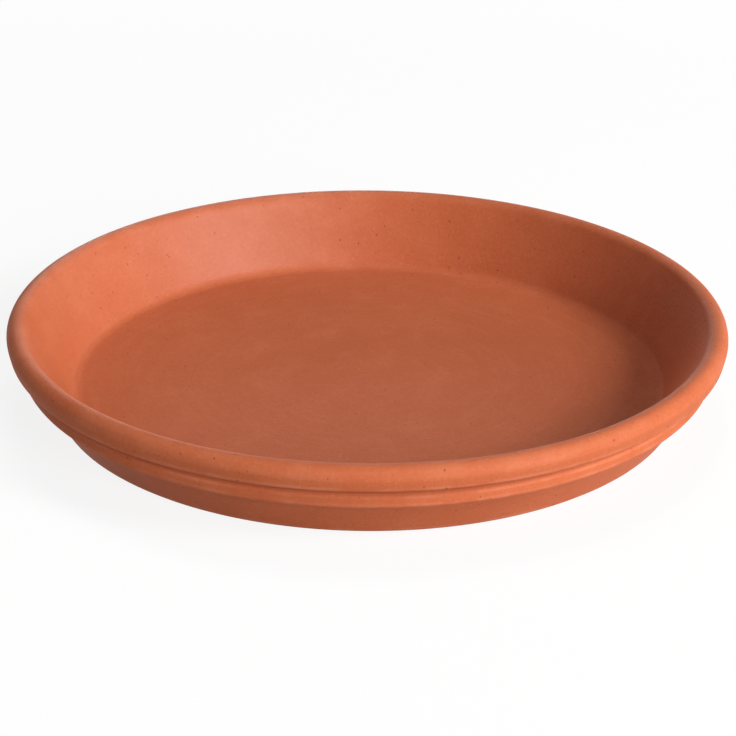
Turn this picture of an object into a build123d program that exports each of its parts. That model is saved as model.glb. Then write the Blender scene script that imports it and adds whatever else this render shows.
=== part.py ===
from build123d import *
import math
import os

# A round unglazed clay plant saucer, pressed and turned as one piece. Lengths are in
# millimetres. The origin is the centre of the foot, on the ground, and +Z is up. The
# sizes below describe half of the saucer's section, which is turned once round the axis.

# The whole saucer
rim_diameter = 300.0
overall_height = 36.5
foot_diameter = 258.8

# Clay thicknesses: the wall's is measured square to its own slope
wall_thickness = 8.6
floor_thickness = 6.2

# The lip is rolled over the top of the wall. Its outer face draws in as it comes down,
# and ends in a corner that overhangs the groove
lip_thickness = 9.6
lip_height = 9.7
lip_draws_in = 1.0

# The band of lip, groove and bead, from the top of the lip down to the underside of the
# bead. The bead stands out from the wall below it, and its shoulder slopes in and up to
# the bottom of the groove
band_height = 19.8
band_stands_out = 4.0
bead_height = 4.9
bead_bevel = 1.3
shoulder_height = 2.2
groove_depth = 1.0

# Where the floor turns up into the wall, and where the foot turns up into the wall
cove_radius = 6.0
foot_bevel = 1.2

# The underside is hollowed inside a ring, so that the saucer doesn't rock
ring_width = 17.0
hollow_depth = 1.6
hollow_slope_width = 5.0


def heading(angle):
    """The unit direction at an angle in degrees: 0 points out from the axis and 90 up."""
    turn = math.radians(angle)
    return Vector(math.cos(turn), math.sin(turn))


def wall_lean(lip, lip_radius):
    """How many degrees the wall leans out from upright, the same on both faces.

    The inner face touches the lip's circle. The outer face rises from the foot's edge.
    """
    out = lip.X - foot_diameter / 2
    spread = math.asin((wall_thickness - lip_radius) / math.hypot(out, lip.Y))
    return math.degrees(math.atan2(out, lip.Y) + spread)


def on_outer_wall(height, lean):
    """The point of the wall's outer face at a height above the ground."""
    return Vector(foot_diameter / 2 + height * math.tan(math.radians(lean)), height)


def lip_face_top(corner, lip, lip_radius):
    """Where the lip's straight outer face, which rises from its corner, touches the lip's circle."""
    away = corner - lip
    spread = math.degrees(math.acos(lip_radius / away.length))
    return lip + heading(math.degrees(math.atan2(away.Y, away.X)) + spread) * lip_radius


def cove_circle(wall_top, lean):
    """The centre of the cove, which touches the floor and the wall's inner face."""
    slope = math.radians(lean)
    height = floor_thickness + cove_radius
    wall_radius = wall_top.X - (wall_top.Y - height) * math.tan(slope)
    return Vector(wall_radius - cove_radius / math.cos(slope), height)


def saucer_section():
    """Half of the section, with x out from the axis and y up."""
    lip_radius = lip_thickness / 2
    lip = Vector(rim_diameter / 2 - lip_radius, overall_height - lip_radius)
    lip_corner = Vector(rim_diameter / 2 - lip_draws_in, overall_height - lip_height)
    lean = wall_lean(lip, lip_radius)
    square_to_wall = heading(-lean)

    ring_inside = foot_diameter / 2 - ring_width
    bead_bottom = overall_height - band_height
    bead_top = bead_bottom + bead_height
    under_bead = on_outer_wall(bead_bottom, lean)
    bead_face = under_bead.X + band_stands_out
    wall_top = lip - square_to_wall * lip_radius
    cove = cove_circle(wall_top, lean)

    with BuildLine() as outline:
        outside = Polyline(
            (0, hollow_depth),
            (ring_inside - hollow_slope_width, hollow_depth),
            (ring_inside, 0),
            (foot_diameter / 2 - foot_bevel, 0),
            on_outer_wall(foot_bevel, lean),
            under_bead,
            (bead_face - bead_bevel, bead_bottom),
            (bead_face, bead_bottom + bead_bevel),
            (bead_face, bead_top),
            (bead_face - groove_depth, bead_top + shoulder_height),
            lip_corner,
            lip_face_top(lip_corner, lip, lip_radius),
        )
        rolled_lip = TangentArc(outside @ 1, wall_top, tangent=outside % 1)
        inner_wall = Line(rolled_lip @ 1, cove + square_to_wall * cove_radius)
        cove_face = TangentArc(inner_wall @ 1, (cove.X, floor_thickness), tangent=inner_wall % 1)
        floor_face = Line(cove_face @ 1, (0, floor_thickness))
        Line(floor_face @ 1, outside @ 0)
    return make_face(outline.line)


def saucer():
    """The whole saucer: its section turned once round the axis."""
    return revolve(Plane.XZ * saucer_section(), axis=Axis.Z)


os.makedirs("parts", exist_ok=True)
export_step(saucer(), "parts/saucer.step")
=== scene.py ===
import math

import bmesh
import bpy
from mathutils import Matrix, Vector, noise


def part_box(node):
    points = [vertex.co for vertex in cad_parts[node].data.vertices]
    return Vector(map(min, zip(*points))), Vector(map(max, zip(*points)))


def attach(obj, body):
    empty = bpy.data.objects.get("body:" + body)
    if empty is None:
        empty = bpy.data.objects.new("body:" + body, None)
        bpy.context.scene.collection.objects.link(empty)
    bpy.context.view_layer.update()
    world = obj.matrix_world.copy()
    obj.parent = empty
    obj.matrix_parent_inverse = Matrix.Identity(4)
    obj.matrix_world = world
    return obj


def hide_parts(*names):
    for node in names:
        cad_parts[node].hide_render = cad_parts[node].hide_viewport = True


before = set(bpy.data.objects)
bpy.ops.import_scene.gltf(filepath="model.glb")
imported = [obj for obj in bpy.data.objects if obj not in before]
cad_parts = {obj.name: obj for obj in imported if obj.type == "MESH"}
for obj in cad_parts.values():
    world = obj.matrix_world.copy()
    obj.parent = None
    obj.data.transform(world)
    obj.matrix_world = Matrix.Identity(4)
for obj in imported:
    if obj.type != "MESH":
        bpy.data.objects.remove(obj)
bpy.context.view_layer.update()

# Sizes are in metres, and the saucer's own are written in millimetres
mm = 0.001
high_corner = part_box("saucer")[1]
rim_radius = high_corner.x
overall_height = high_corner.z

foot_radius = 129.4 * mm
wall_thickness = 8.6 * mm
floor_thickness = 6.2 * mm
lip_radius = 4.8 * mm
lip_height = 9.7 * mm
lip_draws_in = 1.0 * mm
band_height = 19.8 * mm
band_stands_out = 4.0 * mm
bead_height = 4.9 * mm
bead_bevel = 1.3 * mm
shoulder_height = 2.2 * mm
groove_depth = 1.0 * mm
cove_radius = 6.0 * mm
foot_bevel = 1.2 * mm
ring_width = 17.0 * mm
hollow_depth = 1.6 * mm
hollow_slope_width = 5.0 * mm

# How far the corners between those faces are rounded in the clay
lip_corner_round = 1.8 * mm
groove_round = 1.4 * mm
shoulder_round = 1.8 * mm
bead_round = 2.0 * mm
under_bead_round = 0.8 * mm
foot_round = 1.6 * mm
hollow_round = 6.0 * mm

# How finely the section is cut
floor_spacing = 1.5 * mm
underside_spacing = 3.0 * mm
wall_spacing = 1.5 * mm
lip_spacing = 0.9 * mm
cove_spacing = 0.9 * mm
corner_turn = math.radians(9)

# Cuts round the axis: the full number out to the rim, halved again and again towards the centre
rim_cuts = 480
full_cuts_radius = 60 * mm
centre_cuts = 30

# How far the fired clay strays from its true shape, always to the inside
warp = 0.10 * mm
dents = 0.05 * mm
turning_marks = 0.02 * mm
warp_size = 90 * mm
dent_size = 24 * mm
turning_pitch = 2.2 * mm
settled_height = 1.5 * mm


# The section: x runs out from the axis and y up


def heading(angle):
    """The unit direction at an angle in radians: 0 points out from the axis."""
    return Vector((math.cos(angle), math.sin(angle)))


def direction_to(start, end):
    """The angle in radians at which one point sees another."""
    return math.atan2(end.y - start.y, end.x - start.x)


class Section:
    """The saucer's half section, drawn as close points with the clay on the right hand."""

    def __init__(self):
        self.points = []

    def line(self, start, end, spacing):
        along = (end - start).normalized()
        outward = Vector((-along.y, along.x))
        steps = max(1, round((end - start).length / spacing))
        for step in range(steps):
            self.points.append((start.lerp(end, step / steps), outward, 0.0))

    def arc(self, centre, radius, start, turn, steps):
        """An arc from one angle, through a turn that is anticlockwise for a hollow such as a cove."""
        side = -1 if turn > 0 else 1
        for step in range(steps):
            out = heading(start + turn * step / steps)
            self.points.append((centre + out * radius, out * side, side * mm / radius))

    def faces(self, corners, spacing):
        """Straight faces from place to place, with each corner on the way rounded by its radius."""
        start = corners[0][0]
        for (before, _), (corner, radius), (after, _) in zip(corners, corners[1:], corners[2:]):
            arriving = direction_to(before, corner)
            turn = (direction_to(corner, after) - arriving + math.pi) % math.tau - math.pi
            side = math.copysign(math.pi / 2, turn)
            trim = radius * math.tan(abs(turn) / 2)
            round_start = corner - heading(arriving) * trim
            centre = round_start + heading(arriving + side) * radius
            self.line(start, round_start, spacing)
            self.arc(centre, radius, arriving - side, turn, max(2, round(abs(turn) / corner_turn)))
            start = corner + heading(arriving + turn) * trim
        self.line(start, corners[-1][0], spacing)


def saucer_section():
    """The half section, from the middle of the dish over the lip to the middle of the underside."""
    lip = Vector((rim_radius - lip_radius, overall_height - lip_radius))
    out = lip.x - foot_radius
    lean = math.atan2(out, lip.y) + math.asin((wall_thickness - lip_radius) / math.hypot(out, lip.y))
    square_out = heading(-lean)

    wall_top = lip - square_out * lip_radius
    cove_height = floor_thickness + cove_radius
    cove_foot = wall_top.x - (wall_top.y - cove_height) * math.tan(lean)
    cove = Vector((cove_foot - cove_radius / math.cos(lean), cove_height))

    lip_corner = Vector((rim_radius - lip_draws_in, overall_height - lip_height))
    lip_end = direction_to(lip, lip_corner) + math.acos(lip_radius / (lip_corner - lip).length)
    bead_bottom = overall_height - band_height
    bead_top = bead_bottom + bead_height
    under_bead = foot_radius + bead_bottom * math.tan(lean)
    bead_face = under_bead + band_stands_out
    ring_inside = foot_radius - ring_width
    ring_middle = Vector((foot_radius - ring_width / 2, 0))

    section = Section()
    section.line(Vector((0, floor_thickness)), Vector((cove.x, floor_thickness)), floor_spacing)
    cove_turn = math.pi / 2 - lean
    section.arc(cove, cove_radius, -math.pi / 2, cove_turn, round(cove_turn * cove_radius / cove_spacing))
    section.line(cove + square_out * cove_radius, wall_top, wall_spacing)
    lip_turn = lip_end - (math.pi - lean)
    section.arc(lip, lip_radius, math.pi - lean, lip_turn, round(-lip_turn * lip_radius / lip_spacing))
    section.faces([
        (lip + heading(lip_end) * lip_radius, 0),
        (lip_corner, lip_corner_round),
        (Vector((bead_face - groove_depth, bead_top + shoulder_height)), groove_round),
        (Vector((bead_face, bead_top)), shoulder_round),
        (Vector((bead_face, bead_bottom + bead_bevel)), bead_round),
        (Vector((bead_face - bead_bevel, bead_bottom)), bead_round),
        (Vector((under_bead, bead_bottom)), under_bead_round),
        (Vector((foot_radius + foot_bevel * math.tan(lean), foot_bevel)), foot_round),
        (Vector((foot_radius - foot_bevel, 0)), foot_round),
        (ring_middle, 0),
    ], wall_spacing)
    section.faces([
        (ring_middle, 0),
        (Vector((ring_inside, 0)), hollow_round),
        (Vector((ring_inside - hollow_slope_width, hollow_depth)), hollow_round),
        (Vector((0, hollow_depth)), 0),
    ], underside_spacing)
    return section.points


def cuts_at(radius):
    """How many cuts a ring has: as many as the rim's, or fewer near the centre."""
    cuts = rim_cuts
    reach = full_cuts_radius
    while radius < reach and cuts > centre_cuts:
        cuts //= 2
        reach /= 2
    return cuts


def strays(place, angle):
    """How far inside its true surface the fired clay lies at one point of the saucer."""
    out = heading(angle) * place.x
    spot = Vector((out.x, out.y, place.y))
    slow = warp * (1 + noise.noise(spot / warp_size))
    dent = dents * (1 + noise.noise(spot / dent_size))
    groove = turning_marks * (1 + noise.noise(Vector(((place.x - place.y) / turning_pitch, angle, 0))))
    return (slow + dent + groove) * min(1, place.y / settled_height)


def saucer_mesh():
    """The saucer as one closed skin: rings of points round the axis, joined ring to ring."""
    points = saucer_section()
    skin = bmesh.new()
    bend_layer = skin.verts.layers.float.new("bend")
    centre_top = skin.verts.new((0, 0, points[0][0].y))
    rings = []
    for place, outward, bend in points[1:]:
        cuts = cuts_at(place.x)
        ring = []
        for cut in range(cuts):
            angle = math.tau * cut / cuts
            spot = place - outward * strays(place, angle)
            out = heading(angle) * spot.x
            vertex = skin.verts.new((out.x, out.y, spot.y))
            vertex[bend_layer] = bend
            ring.append(vertex)
        rings.append(ring)
    centre_bottom = skin.verts.new((0, 0, hollow_depth))
    for ring, after in zip(rings, rings[1:]):
        join_rings(skin, ring, after)
    fan(skin, centre_top, rings[0])
    fan(skin, centre_bottom, rings[-1][::-1])
    for face in skin.faces:
        face.smooth = True
    mesh = bpy.data.meshes.new("saucer_clay")
    skin.to_mesh(mesh)
    skin.free()
    return mesh


def join_rings(skin, ring, after):
    """Faces between two rings, where one may have twice as many points as the other."""
    few, many = (ring, after) if len(ring) < len(after) else (after, ring)
    outwards = few is ring
    for cut, corner in enumerate(few):
        beside = few[(cut + 1) % len(few)]
        if len(few) == len(many):
            faces = [(corner, many[cut], many[(cut + 1) % len(many)], beside)]
        else:
            first, middle, last = (many[(2 * cut + more) % len(many)] for more in range(3))
            faces = [(corner, first, middle), (corner, middle, beside), (beside, middle, last)]
        for face in faces:
            skin.faces.new(face if outwards else face[::-1])


def fan(skin, centre, ring):
    """Triangles from one point at the axis to the ring round it."""
    for cut, corner in enumerate(ring):
        skin.faces.new((centre, corner, ring[(cut + 1) % len(ring)]))


# Materials


class Wire:
    """What comes out of one node, on which Python's own signs work."""

    def __init__(self, finish, socket):
        self.finish = finish
        self.socket = socket

    def beside(self, output):
        """What comes out of the same node at another of its outputs."""
        return Wire(self.finish, self.socket.node.outputs[output])

    def math(self, operation, *values):
        return self.finish.node("ShaderNodeMath", {"operation": operation}, dict(enumerate(values)))

    def __add__(self, other):
        return self.math("ADD", self, other)

    __radd__ = __add__

    def __sub__(self, other):
        return self.math("SUBTRACT", self, other)

    def __rsub__(self, other):
        return self.math("SUBTRACT", other, self)

    def __mul__(self, other):
        return self.math("MULTIPLY", self, other)

    __rmul__ = __mul__

    def __truediv__(self, other):
        return self.math("DIVIDE", self, other)

    def between(self, low, high):
        """0 below low, 1 above high, and a smooth slide between the two."""
        settings = {"interpolation_type": "SMOOTHSTEP"}
        sockets = {"Value": self, "From Min": low, "From Max": high}
        return self.finish.node("ShaderNodeMapRange", settings, sockets)


class Finish:
    """The nodes of a material or of the world."""

    def __init__(self, owner):
        owner.use_nodes = True
        self.tree = owner.node_tree
        self.tree.nodes.clear()

    def node(self, kind, settings, sockets, output=0):
        """A node of one kind: its settings first, then the values or wires of its sockets."""
        made = self.tree.nodes.new(kind)
        for name, value in settings.items():
            setattr(made, name, value)
        for name, value in sockets.items():
            if isinstance(value, Wire):
                self.tree.links.new(value.socket, made.inputs[name])
            else:
                made.inputs[name].default_value = value
        return Wire(self, made.outputs[output])

    def noise(self, place, size, detail, rough, warped=0.0):
        """Soft noise from 0 to 1, whose patches are about as wide as size."""
        return self.node("ShaderNodeTexNoise", {}, {
            "Vector": place,
            "Scale": 0.5 / size,
            "Detail": detail,
            "Roughness": rough,
            "Distortion": warped,
        })

    def blend(self, share, first, second):
        """Two colours blended, by a share of the second."""
        sockets = {0: share, 6: first, 7: second}
        return self.node("ShaderNodeMix", {"data_type": "RGBA"}, sockets, output=2)

    def show(self, surface, kind="ShaderNodeOutputMaterial"):
        """Joins the shader to the output of the material or, by its kind, of the world."""
        output = self.tree.nodes.new(kind)
        self.tree.links.new(surface.socket, output.inputs["Surface"])


def colour(red, green, blue):
    """A colour as the shaders take it, with nothing see-through."""
    return (red, green, blue, 1.0)


def grey(level):
    return colour(level, level, level)


fired_clay = colour(0.50, 0.122, 0.048)
deep_clay = colour(0.42, 0.092, 0.034)
pale_clay = colour(0.59, 0.175, 0.082)
rubbed_clay = colour(0.62, 0.21, 0.115)
shade_in_corners = colour(0.31, 0.070, 0.028)
# The dark grog colour also serves as painted shade inside the pits
dark_grog_and_pit_shade = colour(0.17, 0.045, 0.025)
pale_grog = colour(0.68, 0.34, 0.21)

# How wide the clay's patches are, and how far apart its specks and pits
blush_size = 70 * mm
mottle_size = 9 * mm
streak_size = 1.6 * mm
grain_size = 0.7 * mm
speck_spacing = 2.6 * mm
pit_spacing = 4.3 * mm

# The streaks are laid out on a ring this small, which draws them out round the saucer
streak_ring = 9 * mm

# The two values of its noise between which each patch fades in
deep_blush_fade = (0.25, 0.7)
pale_mottle_fade = (0.45, 0.8)
deep_mottle_fade = (0.2, 0.48)
pale_streak_fade = (0.45, 0.8)
deep_grain_fade = (0.25, 0.5)
pale_grain_fade = (0.5, 0.78)
rubbed_edge_fade = (0.35, 0.65)

# How far a speck or a pit reaches from its middle, as shares of its spacing, and the cells
# that hold one, by their own numbers from 0 to 1
dark_speck_reach = (0.07, 0.16)
dark_speck_cells = (0.72, 0.74)
pale_speck_reach = (0.06, 0.15)
pale_speck_cells = (0.24, 0.26)
pit_reach = (0.05, 0.13)
pit_cells = (0.6, 0.62)

# Where faces bend, as 1 over the radius in millimetres and below 0 in a hollow
rubbed_edge_bend = (0.1, 0.4)
shaded_corner_bend = (-0.7, -0.25)
lip_bend = (0.03, 0.2)

# How much of its own colour each takes at its strongest
deep_blush_share = 0.5
pale_mottle_share = 0.3
deep_mottle_share = 0.3
pale_streak_share = 0.2
deep_grain_share = 0.55
pale_grain_share = 0.5
rubbed_edge_share = 0.4
shaded_corner_share = 0.35
dark_speck_share = 0.45
pale_speck_share = 0.3
pit_shade_share = 0.6

# The clay's fine relief, and what share of it each kind of mark takes
relief_depth = 0.22 * mm
grain_relief = 0.8
streak_relief = 0.3
mottle_relief = 0.5
pit_relief = 0.9

# The wall's inside: above the floor, and within a cone that leans like the wall and meets
# the ground between these two radii
inside_height = (6.4 * mm, 7.6 * mm)
wall_slope = 0.64
wall_middle = (120 * mm, 124 * mm)

# The clay is matt, and the flat of the wall's inside is smoother than the rest
plain_roughness = 0.52
grain_roughness = 0.07
mottle_roughness = 0.05
smoother_inside = 0.16
plain_specular = 0.09

# One stretch of the wall's inside is burnished. It is full at its heading, and fades out
# between two cosines of the angle from there
burnish_heading = math.radians(128)
burnish_fade = (0.55, 0.9)
burnish_weight = 0.35
burnish_mottle = 0.3
burnish_roughness = 0.5


def cells(clay, place, spacing):
    """Cells scattered through the clay: the distance from each one's middle, and its own number."""
    sockets = {"Vector": place, "Scale": 1 / spacing, "Randomness": 1.0}
    distance = clay.node("ShaderNodeTexVoronoi", {}, sockets)
    return distance, clay.node("ShaderNodeSeparateXYZ", {}, {0: distance.beside("Color")})


def pits(clay, place):
    """1 in the middle of each small pit, and 0 all round it."""
    distance, number = cells(clay, place, pit_spacing)
    return (1 - distance.between(*pit_reach)) * number.between(*pit_cells)


def speckled(clay, place, surface):
    """A colour with dark and pale specks of grog on it."""
    distance, number = cells(clay, place, speck_spacing)
    dark = (1 - distance.between(*dark_speck_reach)) * number.between(*dark_speck_cells)
    pale = (1 - distance.between(*pale_speck_reach)) * (1 - number.between(*pale_speck_cells))
    surface = clay.blend(dark * dark_speck_share, surface, dark_grog_and_pit_shade)
    return clay.blend(pale * pale_speck_share, surface, pale_grog)


def patchy(clay, place, mottle, streaks, grain):
    """The clay's colour on a plain face: blushed, mottled, streaked by the turning and finely gritty."""
    blush = clay.noise(place, blush_size, detail=3, rough=0.55, warped=0.6)
    surface = clay.blend((1 - blush.between(*deep_blush_fade)) * deep_blush_share, fired_clay, deep_clay)
    surface = clay.blend(mottle.between(*pale_mottle_fade) * pale_mottle_share, surface, pale_clay)
    surface = clay.blend((1 - mottle.between(*deep_mottle_fade)) * deep_mottle_share, surface, deep_clay)
    surface = clay.blend(streaks.between(*pale_streak_fade) * pale_streak_share, surface, pale_clay)
    surface = clay.blend((1 - grain.between(*deep_grain_fade)) * deep_grain_share, surface, deep_clay)
    return clay.blend(grain.between(*pale_grain_fade) * pale_grain_share, surface, pale_clay)


def rubbed_and_corner_shaded(clay, surface, bend, mottle):
    """A colour made paler on the rubbed edges, and darker in the hollow corners as painted shade."""
    edge = bend.between(*rubbed_edge_bend) * mottle.between(*rubbed_edge_fade)
    corner = 1 - bend.between(*shaded_corner_bend)
    surface = clay.blend(edge * rubbed_edge_share, surface, rubbed_clay)
    # Painted shade: the hollow corners are darkened in the colour itself
    return clay.blend(corner * shaded_corner_share, surface, shade_in_corners)


def terracotta():
    """Unglazed fired clay, matt and a little uneven, with a stretch of burnished wall inside."""
    material = bpy.data.materials.new("terracotta")
    clay = Finish(material)
    place = clay.node("ShaderNodeTexCoord", {}, {}, output="Object")
    right = clay.node("ShaderNodeSeparateXYZ", {}, {0: place})
    away = right.beside("Y")
    up = right.beside("Z")
    flat_place = clay.node("ShaderNodeCombineXYZ", {}, {"X": right, "Y": away})
    radius = clay.node("ShaderNodeVectorMath", {"operation": "LENGTH"}, {0: flat_place}, output="Value")
    bend = clay.node("ShaderNodeAttribute", {"attribute_name": "bend"}, {}, output="Fac")

    streak_place = clay.node("ShaderNodeCombineXYZ", {}, {
        "X": right / radius * streak_ring, "Y": away / radius * streak_ring, "Z": radius - up})
    mottle = clay.noise(place, mottle_size, detail=4, rough=0.6)
    streaks = clay.noise(streak_place, streak_size, detail=3, rough=0.6)
    grain = clay.noise(place, grain_size, detail=4, rough=0.75)
    pit = pits(clay, place)

    surface = patchy(clay, place, mottle, streaks, grain)
    # Paler rubbed edges, and painted shade in the hollow corners
    surface = rubbed_and_corner_shaded(clay, surface, bend, mottle)
    surface = speckled(clay, place, surface)
    # Painted shade: each pit is darkened in the colour as well as sunk in the relief
    surface = clay.blend(pit * pit_shade_share, surface, dark_grog_and_pit_shade)

    height = grain * grain_relief + streaks * streak_relief + mottle * mottle_relief - pit * pit_relief
    relief = clay.node("ShaderNodeBump", {}, {
        "Strength": 1.0, "Distance": relief_depth, "Height": height})

    outside = (radius - up * wall_slope).between(*wall_middle)
    inner_wall = up.between(*inside_height) * (1 - outside)
    smoothed = inner_wall * (1 - bend.between(*lip_bend))
    roughness = plain_roughness + grain * grain_roughness + mottle * mottle_roughness
    far_left = heading(burnish_heading)
    near_heading = (right * far_left.x + away * far_left.y) / radius
    burnished = inner_wall * near_heading.between(*burnish_fade)
    clay.show(clay.node("ShaderNodeBsdfPrincipled", {}, {
        "Base Color": surface,
        "Roughness": roughness - smoothed * smoother_inside,
        "Specular IOR Level": plain_specular,
        "Coat Weight": burnished * (burnish_weight + mottle * burnish_mottle),
        "Coat Roughness": burnish_roughness,
        "Normal": relief,
    }))
    return material


# The saucer

saucer = bpy.data.objects.new("saucer_clay", saucer_mesh())
bpy.context.scene.collection.objects.link(saucer)
saucer.data.materials.append(terracotta())
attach(saucer, "root")
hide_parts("saucer")


# The camera stands where the photograph was taken from, and looks just past the foot's centre

camera_elevation = math.radians(24.57)
camera_distance = 1.103
camera_roll = 0.0070
camera_lens = 127.48
aim_right = 0.36 * mm
aim_up = 9.44 * mm


def photo_camera():
    """The scene's camera, rolled a little about its own line of sight."""
    forward = Vector((0, math.cos(camera_elevation), -math.sin(camera_elevation)))
    right = Vector((1, 0, 0))
    up = right.cross(forward)
    aim = right * aim_right + up * aim_up
    data = bpy.data.cameras.new("photo_camera")
    data.lens = camera_lens
    camera = bpy.data.objects.new("photo_camera", data)
    camera.location = -forward * camera_distance
    view = (aim - camera.location).normalized()
    turned = Matrix.Rotation(-camera_roll, 4, view)
    camera.rotation_mode = "QUATERNION"
    camera.rotation_quaternion = turned.to_quaternion() @ view.to_track_quat("-Z", "Y")
    bpy.context.scene.collection.objects.link(camera)
    bpy.context.scene.camera = camera


photo_camera()


# The floor, the world and the lamps

floor_size = 8.0
plain_floor_radius = 0.9
shadow_floor_radius = 0.4
floor_bounce = 0.25
floor_shade = 0.15
floor_glow = 0.86
world_glow = 0.01
white = grey(1)


def seen_directly(finish):
    """1 where a surface is seen by itself, in a gloss or through glass, and 0 for bounced light."""
    camera_ray = finish.node("ShaderNodeLightPath", {}, {}, output="Is Camera Ray")
    itself_or_gloss = camera_ray.math("MAXIMUM", camera_ray, camera_ray.beside("Is Glossy Ray"))
    return camera_ray.math("MAXIMUM", itself_or_gloss, camera_ray.beside("Is Transmission Ray"))


def studio_floor():
    """A pale grey floor that reads as white, and keeps a soft shadow round the saucer."""
    material = bpy.data.materials.new("studio_floor")
    finish = Finish(material)
    place = finish.node("ShaderNodeTexCoord", {}, {}, output="Object")
    far = finish.node("ShaderNodeVectorMath", {"operation": "LENGTH"}, {0: place}, output="Value")
    bounce = finish.node("ShaderNodeBsdfDiffuse", {}, {"Color": grey(floor_bounce)})
    shade = finish.node("ShaderNodeBsdfDiffuse", {}, {"Color": grey(floor_shade)})
    glow = finish.node("ShaderNodeEmission", {}, {"Color": white, "Strength": floor_glow})
    plain_white = finish.node("ShaderNodeEmission", {}, {"Color": white, "Strength": 1.0})
    shaded = finish.node("ShaderNodeAddShader", {}, {0: shade, 1: glow})
    seen = finish.node("ShaderNodeMixShader", {}, {
        0: far.between(shadow_floor_radius, plain_floor_radius), 1: shaded, 2: plain_white})
    finish.show(finish.node("ShaderNodeMixShader", {}, {0: seen_directly(finish), 1: bounce, 2: seen}))
    half = floor_size / 2
    corners = [(-half, -half, 0), (half, -half, 0), (half, half, 0), (-half, half, 0)]
    mesh = bpy.data.meshes.new("studio_floor")
    mesh.from_pydata(corners, [], [(0, 1, 2, 3)])
    mesh.materials.append(material)
    floor = bpy.data.objects.new("studio_floor", mesh)
    bpy.context.scene.collection.objects.link(floor)


def studio_world():
    """A white surrounding to look at, which gives only a weak grey light."""
    world = bpy.data.worlds.new("studio")
    bpy.context.scene.world = world
    finish = Finish(world)
    dim = finish.node("ShaderNodeBackground", {}, {"Color": white, "Strength": world_glow})
    seen = finish.node("ShaderNodeBackground", {}, {"Color": white, "Strength": 1.0})
    sky = finish.node("ShaderNodeMixShader", {}, {0: seen_directly(finish), 1: dim, 2: seen})
    finish.show(sky, "ShaderNodeOutputWorld")


def soft_lamp(name, around, up, level, width, height, distance=4.0):
    """A soft lamp that faces the saucer, at an angle around from the camera's side to the right.

    A level of 1 lights a sheet that faces the lamp so that the sheet's own colour shows.
    """
    data = bpy.data.lights.new(name, "AREA")
    data.shape = "RECTANGLE"
    data.size = width
    data.size_y = height
    data.energy = level * (math.pi * distance) ** 2
    lamp = bpy.data.objects.new(name, data)
    around, up = math.radians(around), math.radians(up)
    away = Vector((math.sin(around) * math.cos(up), -math.cos(around) * math.cos(up), math.sin(up)))
    lamp.location = away * distance
    lamp.rotation_mode = "QUATERNION"
    lamp.rotation_quaternion = away.to_track_quat("Z", "Y")
    lamp.visible_camera = False
    bpy.context.scene.collection.objects.link(lamp)


studio_floor()
studio_world()
soft_lamp("key", around=63, up=33, level=0.65, width=1.25, height=1.25)
soft_lamp("side", around=30, up=20, level=0.63, width=1.25, height=1.25)
soft_lamp("low_side", around=60, up=7, level=0.23, width=1.25, height=0.9)
soft_lamp("back", around=185, up=8, level=0.14, width=1.25, height=0.9)
soft_lamp("left", around=270, up=8, level=0.10, width=1.25, height=0.9)
soft_lamp("top", around=180, up=66, level=0.26, width=1.5, height=1.5)
soft_lamp("table_strip_right", around=60, up=2, level=0.19, width=0.4, height=0.04, distance=0.6)
soft_lamp("table_strip_left", around=-30, up=2, level=0.13, width=0.4, height=0.04, distance=0.6)

bpy.context.scene.view_settings.view_transform = "Standard"
